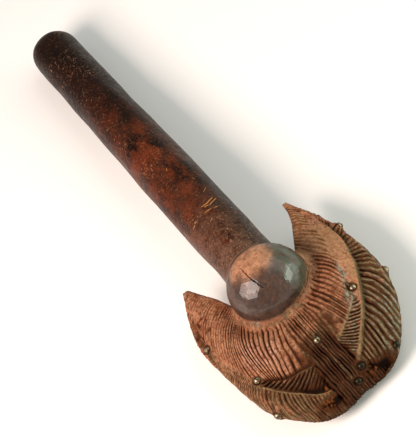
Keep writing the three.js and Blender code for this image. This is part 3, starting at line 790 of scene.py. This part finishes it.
# finishing the wood once its parts are one

def lineDistance(points, stroke):
    best = np.full(len(points), 1e9)
    for a, b in zip(stroke, stroke[1:]):
        a, b = np.array(a, float), np.array(b, float)
        f = np.clip((points - a) @ (b - a) / ((b - a) @ (b - a) + 1e-9), 0, 1)
        best = np.minimum(best, np.linalg.norm(points - a - f[:, None] * (b - a), axis=1))
    return best


def fromBall(p):
    # places as shares of the ball's radii from its centre
    return (p - np.array([0, 0, ballSpec["rise"]])) / np.array(ballSpec["radii"])


def offBall(p):
    # millimetres from the ball's surface
    return (np.linalg.norm(fromBall(p), axis=1) - 1) * ballSpec["meanRadius"]


def unroll(p):
    # the grip's surface laid flat in millimetres, and which points lie on it
    turn = np.arctan2(p[:, 2], p[:, 1])
    onGrip = (p[:, 0] < -26) & (np.hypot(p[:, 1], p[:, 2]) < 25.5)
    return np.stack([p[:, 0], turn * gripSpec["flatRadius"]], -1), onGrip


def refineNear(bm, near, cuts):
    chosen = {v for v, close in zip(bm.verts, near) if close}
    edges = [e for e in bm.edges if e.verts[0] in chosen and e.verts[1] in chosen]
    bmesh.ops.subdivide_edges(bm, edges=edges, cuts=cuts, use_grid_fill=True)


def softenJoin(bm, turns=14):
    # the ball flows into the grip
    p = places(bm)
    sleeve = np.abs(np.hypot(p[:, 1], p[:, 2]) - gripRadius(np.clip(p[:, 0], -300, 0)))
    close = (np.abs(offBall(p)) < 2.2) & (sleeve < 2.6) & (p[:, 0] < 2) & (p[:, 2] > -4)
    chosen = [v for v, c in zip(bm.verts, close) if c]
    for turn in range(turns):
        bmesh.ops.smooth_vert(bm, verts=chosen, factor=0.5, use_axis_x=True, use_axis_y=True, use_axis_z=True)


def seatNails(bm):
    # the wood is level with each nail's seat, with a dark ring round the head
    p = places(bm)
    cut = getLayer(bm, "cut")
    for place in nailSpec["places"].values():
        at, facing = np.array(place[:3]), np.array(place[3:])
        facing = facing / np.linalg.norm(facing)
        height = (p - at) @ facing
        sideways = np.linalg.norm(p - at - height[:, None] * facing, axis=1)
        share = fade(*nailSpec["seat"], sideways) * (np.abs(height) < 5)
        p = p - (height * share)[:, None] * facing
        ring = hump(sideways, *nailSpec["darkRing"]) * (np.abs(height) < 5)
        cut = np.maximum(cut * (1 - 0.7 * share), 0.85 * ring)
    moveTo(bm, p)
    setLayer(bm, "cut", cut)


def markGripAndBall(bm):
    centre = np.array([0, 0, ballSpec["rise"]])
    flat, onGrip = unroll(places(bm))
    strokes = [([(x, math.radians(a) * gripSpec["flatRadius"]) for x, a in points], width, strength)
               for points, width, strength in gripSpec["scratches"]]
    near = np.min([lineDistance(flat, stroke[0]) for stroke in strokes], axis=0)
    refineNear(bm, onGrip & (near < 3.2), 3)
    crack = [np.array(d) * np.array(ballSpec["radii"]) + centre for d in ballSpec["crack"]]
    refineNear(bm, lineDistance(places(bm), crack) < 2.6, 5)

    p = places(bm)
    flat, onGrip = unroll(p)
    scratch = np.zeros(len(p))
    for points, width, strength in strokes:
        d = lineDistance(flat, points)
        spread = width * (1 + 0.35 * cloud(p, 3, 14))
        scratch = np.maximum(scratch, strength * np.exp(-((d / spread) ** 2)))
    scratch = scratch * onGrip
    d = lineDistance(p + 0.5 * cloud(p, 2.5, 15)[:, None], crack)
    split = np.exp(-((d / 0.34) ** 2)) * (p[:, 2] > 8)
    inwards = np.where(onGrip[:, None], p * np.array([0, 1, 1]), p - centre)
    inwards = inwards / (np.linalg.norm(inwards, axis=1)[:, None] + 1e-9)
    moveTo(bm, p - inwards * (0.3 * scratch + 0.9 * split)[:, None])

    foot = smooth(1.0, 4.6, p[:, 2] + 1.2 * cloud(p, 5, 16))
    along = p[:, 0] + 1.5 * cloud(p, 4, 24)
    ball = (np.abs(offBall(p)) < 1.6) * foot * smooth(-31, -24, along)
    grip = smooth(-16, -27, along) * (np.hypot(p[:, 1], p[:, 2]) < 26) * (1 - ball)
    top = smooth(0.74, 0.93, fromBall(p) @ np.array(ballSpec["paleTop"]) + 0.07 * cloud(p, 7, 17))
    rub = np.where(ball > 0.01, top, getLayer(bm, "rub"))
    cut = np.maximum(getLayer(bm, "cut"), split * (ball > 0.01))
    marks = {"ball": ball, "grip": grip, "gripShare": np.clip(-p[:, 0] / gripSpec["taper"], 0, 1),
             "rub": rub, "cut": cut, "scratch": scratch}
    for name, mark in marks.items():
        setLayer(bm, name, mark)


def makeWood():
    wood = joinInto(makeHeadSide(1), [makeHeadSide(-1)])
    print("head carved", len(wood.data.polygons))
    root = makeSleeve("root", rootSpec, rootPlaces)
    grip = makeSleeve("grip", gripSpec, gripPlaces)
    wood = joinInto(wood, [root, grip, makeBall()])
    wood.name = "sceptreWood"
    wood.data.name = "sceptreWood"
    bm = bmesh.new()
    bm.from_mesh(wood.data)
    softenJoin(bm)
    seatNails(bm)
    markGripAndBall(bm)
    bmesh.ops.triangulate(bm, faces=[f for f in bm.faces if len(f.verts) > 4])
    bmesh.ops.transform(bm, matrix=toFrame, verts=bm.verts)
    for v in bm.verts:
        v.co.z = max(v.co.z, 0)  # the worn flats it lies on
    # the knife flats on the ball keep their edges, and all else is smooth
    bm.verts.index_update()
    ball = getLayer(bm, "ball")
    for f in bm.faces:
        f.smooth = bool(min(ball[v.index] for v in f.verts) < 0.6)
    bm.to_mesh(wood.data)
    bm.free()
    wood.data.calc_loop_triangles()
    print("wood joined, triangles", len(wood.data.loop_triangles))
    return wood


wood = makeWood()
nails = {name: makeNail(name, place) for name, place in nailSpec["places"].items()}
print("nails made")


# materials

def linear(hexColour):
    parts = [int(hexColour[i:i + 2], 16) / 255 for i in (1, 3, 5)]
    return tuple(c / 12.92 if c <= 0.04045 else ((c + 0.055) / 1.055) ** 2.4 for c in parts) + (1,)


def addNode(material, kind, inputs=None, settings=None):
    node = material.node_tree.nodes.new("ShaderNode" + kind)
    for name, value in (settings or {}).items():
        setattr(node, name, value)
    for name, value in (inputs or {}).items():
        if isinstance(value, bpy.types.NodeSocket):
            material.node_tree.links.new(value, node.inputs[name])
        else:
            node.inputs[name].default_value = value
    return node


def newMaterial(name):
    material = bpy.data.materials.new(name)
    material.use_nodes = True
    material.node_tree.nodes.clear()
    return material


# Carved hardwood, oiled, smoked and handled for a long time: orange brown barbs with cuts darkened
# partly by old deposits and partly as painted shade, an olive brown film on the fronds that also
# carries painted shadow and a painted cool sheen, painted highlights on the worn ridges and a painted
# cool sheen on the ball, pale where edges are rubbed, and a grip that hands have burnished nearly
# black with deep red showing through.
woodTones = {
    "barb": "#8c573c", "barbLight": "#b4805f", "barbRed": "#975332", "barbTop": "#c08d6e",
    "cut": "#0e0502", "halfCut": "#4d2812", "rubbed": "#a4805b", "raw": "#7f4720",
    "film": "#372715", "filmOlive": "#413a22", "filmDeep": "#0f0502", "filmTop": "#8a7653",
    "shineWarm": "#cfa595", "shineCool": "#8d9282",
    "ball": "#35271e", "ballRed": "#482f21", "ballDark": "#2b211b", "ballDusk": "#4a3830",
    "ballOil": "#454b3c", "ballTop": "#b9835f", "ballTopBrown": "#855840",
    "grip": "#3f2114", "gripBlack": "#0e0603", "gripRed": "#6c2f16", "gripNear": "#634637",
    "gripShade": "#191812", "gripPale": "#b07f5c", "scratch": "#b27844",
}


def woodMaterial():
    tones = {name: linear(value) for name, value in woodTones.items()}
    m = newMaterial("carvedHardwoodPatina")

    def add(kind, inputs=None, settings=None, give=0):
        return addNode(m, kind, inputs, settings).outputs[give]

    softly = {"interpolation_type": "SMOOTHSTEP"}
    multiplied = {"operation": "MULTIPLY"}
    times = {"operation": "MULTIPLY_ADD"}  # a value times a number, plus a base
    clamped = {"operation": "MULTIPLY_ADD", "use_clamp": True}  # the same, from 0 to 1

    def lumps(size, detail=4.0, rough=0.6, stretch=(1, 1, 1), vector=None):
        # a pattern with lumps of about this many millimetres
        turned = add("Mapping", {"Vector": vector or own, "Scale": stretch})
        return add("TexNoise", {"Vector": turned, "Scale": 1000 / size,
                                "Detail": detail, "Roughness": rough})

    def share(*masks):
        # values times each other; one given as (value, low, high, a, b) goes softly from a to b
        product = None
        for mask in masks:
            if isinstance(mask, tuple):
                value, low, high, a, b = (mask + (0.0, 1.0))[:5]
                mask = add("MapRange", {"Value": value, "From Min": low, "From Max": high,
                                        "To Min": a, "To Max": b}, softly)
            product = mask if product is None else add("Math", {0: product, 1: mask}, multiplied)
        return product

    def paint(colour, layers):
        # each layer is a tone and the masks that say where it lies
        for tone, *masks in layers:
            colour, tone = (tones.get(c, c) for c in (colour, tone))
            colour = add("Mix", {0: share(*masks), 6: colour, 7: tone}, {"data_type": "RGBA"}, 2)
        return colour

    place = add("TexCoord", give="Object")
    own = add("Mapping", {"Vector": place, "Rotation": (0, lying["tilt"], 0)})  # x runs along the grip
    sideways = add("SeparateXYZ", {"Vector": place}, give="Y")
    marks = {name: add("Attribute", None, {"attribute_name": name}, "Fac") for name in (
        "cut", "rub", "dark", "chip", "shine", "ball", "grip", "gripShare", "scratch", "strandS", "strandT")}
    cut, rub, dark, gripShare = (marks[name] for name in ("cut", "rub", "dark", "gripShare"))
    strand = add("CombineXYZ", {"X": share(marks["strandS"], 0.001),
                                "Y": share(marks["strandT"], 0.001)})
    fibre = lumps(0.9, 3.0, 0.6, (1, 0.12, 1), strand)
    speck = lumps(2.1, rough=0.7)
    crest = share((cut, 0.0, 0.13, 1, 0))

    # the film of oil and smoke, deepest in spots, worn off the crests; where the dark mark is highest it is
    # painted shadow, nearly black, and its olive patches are partly a painted cool sheen
    spread = add("Math", {0: lumps(4.5, 5.0), 1: 1.3, 2: dark}, times)
    film = paint("film", [
        ("filmOlive", (lumps(7), 0.42, 0.6)),
        ("filmDeep", (lumps(3.5), 0.5, 0.68)),
        ("filmDeep", (spread, 1.5, 2.15, 0, 0.9)),
        ("filmTop", crest, (dark, 0.9, 1.4, 0.8, 0.5), (fibre, 0.64, 0.38)),
    ])
    # ridges worn glossy by hands, with painted highlights on them, warm on the field and grey-green where the
    # wood is darker
    polishAndHighlightShare = share(marks["shine"], crest, (lumps(2.6), 0.4, 0.6))
    paintedHighlight = paint("shineWarm", [("shineCool", (dark, 0.3, 0.6))])
    inCut = share((rub, 0.1, 0.8, 1, 0.65))
    broken = add("Math", {0: lumps(2.6, 8.0, 0.8), 1: 2.4, 2: marks["chip"]}, times)
    head = paint("barb", [
        ("barbLight", (lumps(10), 0.36, 0.62)),
        ("barbRed", (lumps(5), 0.46, 0.64, 0, 0.65)),
        ("barbTop", crest, (lumps(3.4), 0.42, 0.62, 0, 0.6)),
        ("halfCut", (fibre, 0.45, 0.68, 0, 0.6)),
        (film, (spread, 0.83, 1.43, 0, 0.93)),
        (paintedHighlight, polishAndHighlightShare, 0.75),
        ("rubbed", rub, (lumps(2.4, 5.0, 0.7), 0.35, 0.6)),
        ("halfCut", (lumps(3.4, 3.0, 0.7), 0.54, 0.66, 0, 0.5)),
        ("halfCut", (speck, 0.5, 0.64, 0, 0.62), (rub, 0.3, 0.9, 1, 0.45)),
        ("barbTop", (speck, 0.48, 0.36, 0, 0.35), (dark, 0.2, 0.7, 1, 0)),
        # the cuts darkened, partly by old deposits and partly as painted shade, nearly black in the deepest
        ("halfCut", (cut, 0.1, 0.45, 0, 0.8), inCut),
        ("cut", (cut, 0.35, 0.85, 0, 0.96), inCut, (dark, 0.1, 0.7, 0.6, 1)),
        ("raw", (broken, 1.45, 2.15, 0, 0.85)),
    ])
    # the ball: pale on top, with a painted cool sheen on the side towards the right horn
    ballTop = paint("ballTop", [("ballTopBrown", (lumps(3, 6.0, 0.75), 0.42, 0.68))])
    ball = paint("ball", [
        ("ballRed", (lumps(9), 0.42, 0.6)),
        ("ballDark", (lumps(5), 0.52, 0.66)),
        ("ballDusk", (lumps(8, 5.0), 0.35, 0.6, 0, 0.8)),
        ("ballOil", (sideways, 0.007, 0.021), (lumps(7, 5.0), 0.34, 0.54, 0, 0.8)),
        (ballTop, rub, (lumps(5, 8.0, 0.75), 0.2, 0.55)),
        ("ballDark", (lumps(2.4, rough=0.7), 0.5, 0.7, 0, 0.5)),
        ("ballTopBrown", (lumps(3.2, 6.0, 0.75), 0.5, 0.68, 0, 0.3)),
        ("cut", (cut, 0.2, 0.7)),
    ])
    # the grip: red in the middle, browner near the ball, nearly black at its end and far side
    fromRed = add("Math", {0: gripShare, 1: 0.42}, {"operation": "SUBTRACT"})
    fromRed = add("Math", {0: fromRed}, {"operation": "ABSOLUTE"})
    worn = add("Math", {0: share((lumps(30), 0.42, 0.6, 0.25, 1)),
                        1: share((gripShare, 0.1, 0.32, 1, 0))}, {"operation": "MAXIMUM"})
    grip = paint("gripBlack", [
        ("grip", (lumps(24, 3.0, stretch=(0.6, 1, 1)), 0.4, 0.6)),
        ("gripRed", (fromRed, 0.05, 0.45, 0.9, 0.25), (lumps(13, 8.0, 0.75, (0.6, 1, 1)), 0.38, 0.64)),
        ("gripNear", (gripShare, 0.08, 0.34, 1, 0), (lumps(12, 6.0, 0.7), 0.32, 0.58)),
        ("gripBlack", (gripShare, 0.42, 0.8, 0, 0.8)),
        ("gripShade", (sideways, 0.004, 0.019), (lumps(9, 5.0), 0.3, 0.5, 0.35, 0.85)),
        ("gripBlack", (lumps(2.6, 6.0, 0.8), 0.45, 0.66, 0, 0.62)),
        ("gripPale", worn, (lumps(1.8, 5.0, 0.8), 0.55, 0.68, 0, 0.85)),
        ("scratch", (marks["scratch"], 0.15, 0.6)),
    ])
    colour = paint(head, [(ball, marks["ball"]), (grip, marks["grip"])])

    handled = add("Math", {0: marks["ball"], 1: marks["grip"]}, {"operation": "MAXIMUM"})
    gloss = add("Math", {0: share((lumps(6), 0.3, 0.7, 0.38, 0.58)),
                         1: share((cut, 0.1, 0.6, 0, 0.35))}, {"operation": "ADD"})
    gloss = add("Math", {0: handled, 1: -0.1, 2: gloss}, clamped)
    rough = add("Math", {0: handled, 1: -0.7, 2: 1.0}, times)
    # fine grain, then fibres along the barbs, then the knife's lumps; distances in metres
    normal = add("Bump", {"Strength": 0.8, "Distance": 0.0008, "Height": share(speck, rough)})
    for strength, distance, pattern in ((0.7, 0.0006, fibre), (0.6, 0.0014, lumps(4.2))):
        normal = add("Bump", {"Strength": strength, "Distance": distance,
                              "Height": share(pattern, rough), "Normal": normal})
    glancing = add("LayerWeight", give="Facing")
    coat = share(marks["ball"], (glancing, 0.35, 0.75, 0.85, 0.034))
    coat = add("Math", {0: marks["grip"], 1: 0.07, 2: coat}, times)
    coat = add("Math", {0: polishAndHighlightShare, 1: 0.4, 2: coat}, clamped)
    shader = add("BsdfPrincipled", {"Base Color": colour, "Roughness": gloss, "IOR": 1.5,
                                    "Specular IOR Level": 0.06, "Coat Weight": coat,
                                    "Coat Roughness": 0.27, "Normal": normal})
    addNode(m, "OutputMaterial", {"Surface": shader})
    return m


# Old brass, cast and hammered: dull brown in the hollows, brighter where the dome is rubbed.
brassTones = {"dull": "#463a2d", "bright": "#a8977b", "frontShade": "#2e2a1f"}


def brassMaterial():
    m = newMaterial("agedBrass")

    def add(kind, inputs=None, settings=None, give=0):
        return addNode(m, kind, inputs, settings).outputs[give]

    tones = {name: linear(value) for name, value in brassTones.items()}
    place = add("TexCoord", give="Object")
    spots = add("TexNoise", {"Vector": place, "Scale": 700.0, "Detail": 4.0})
    bright = add("MapRange", {"Value": spots, "From Min": 0.38, "From Max": 0.66})
    tone = add("Mix", {0: bright, 6: tones["dull"], 7: tones["bright"]}, {"data_type": "RGBA"}, 2)
    # the nails at the blunt front are painted dark as shade
    along = add("SeparateXYZ", {"Vector": place}, give="X")
    atFront = add("MapRange", {"Value": along, "From Min": 0.210, "From Max": 0.216})
    tone = add("Mix", {0: atFront, 6: tone, 7: tones["frontShade"]}, {"data_type": "RGBA"}, 2)
    rough = add("MapRange", {"Value": spots, "To Min": 0.55, "To Max": 0.28})
    dents = add("Bump", {"Strength": 0.4, "Distance": 0.0003, "Height": spots})
    shader = add("BsdfPrincipled", {"Base Color": tone, "Metallic": 1.0, "Roughness": rough,
                                    "Normal": dents})
    addNode(m, "OutputMaterial", {"Surface": shader})
    return m


wood.data.materials.clear()
wood.data.materials.append(woodMaterial())
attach(wood, "root")
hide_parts("carved_wood")
brass = brassMaterial()
for name, nail in nails.items():
    nail.data.materials.append(brass)
    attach(nail, "root")
    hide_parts("nail_" + name)
print("materials set")


# floor and lights

lights = {
    # name: direction in the camera's picture (right, up, towards), distance, size, watts, colour
    "warmLeft": ((-0.76, -0.20, 0.62), 1000, (600, 520), 14.5, "#ffece1"),
    "coolRight": ((0.87, 0.42, 0.30), 1000, (620, 560), 13.8, "#d8eede"),
    "overhead": ((0.15, 0.82, 0.55), 1400, (1100, 1100), 6.5, "#fffaf4"),
}


def makeFloor():
    bm = bmesh.new()
    bmesh.ops.create_grid(bm, x_segments=1, y_segments=1, size=6)
    floor = meshObject("floor", bm)
    m = newMaterial("paleFloor")
    shader = addNode(m, "BsdfPrincipled", {"Base Color": linear("#f7f6f4"), "Roughness": 0.9})
    addNode(m, "OutputMaterial", {"Surface": shader.outputs["BSDF"]})
    floor.data.materials.append(m)


def makeLights():
    axes = viewAxes(cameraSpec)
    for name, (way, distance, size, watts, colour) in lights.items():
        data = bpy.data.lights.new(name, "AREA")
        data.shape = "RECTANGLE"
        data.size, data.size_y = (side / 1000 for side in size)
        data.energy = watts
        data.color = linear(colour)[:3]
        light = bpy.data.objects.new(name, data)
        towards = sum((axis * share for axis, share in zip(axes, way)), Vector())
        at = toFrame @ (towards.normalized() * distance)
        aim = (toFrame @ Vector((10, 0, 0))) - at
        light.matrix_world = Matrix.Translation(at) @ aim.to_track_quat("-Z", "Y").to_matrix().to_4x4()
        scene.collection.objects.link(light)
    world = bpy.data.worlds.new("room")
    world.use_nodes = True
    world.node_tree.nodes["Background"].inputs["Color"].default_value = (1, 1, 1, 1)
    world.node_tree.nodes["Background"].inputs["Strength"].default_value = 0.32
    scene.world = world
    scene.view_settings.view_transform = "Standard"


makeFloor()
makeLights()
print("stage ready")
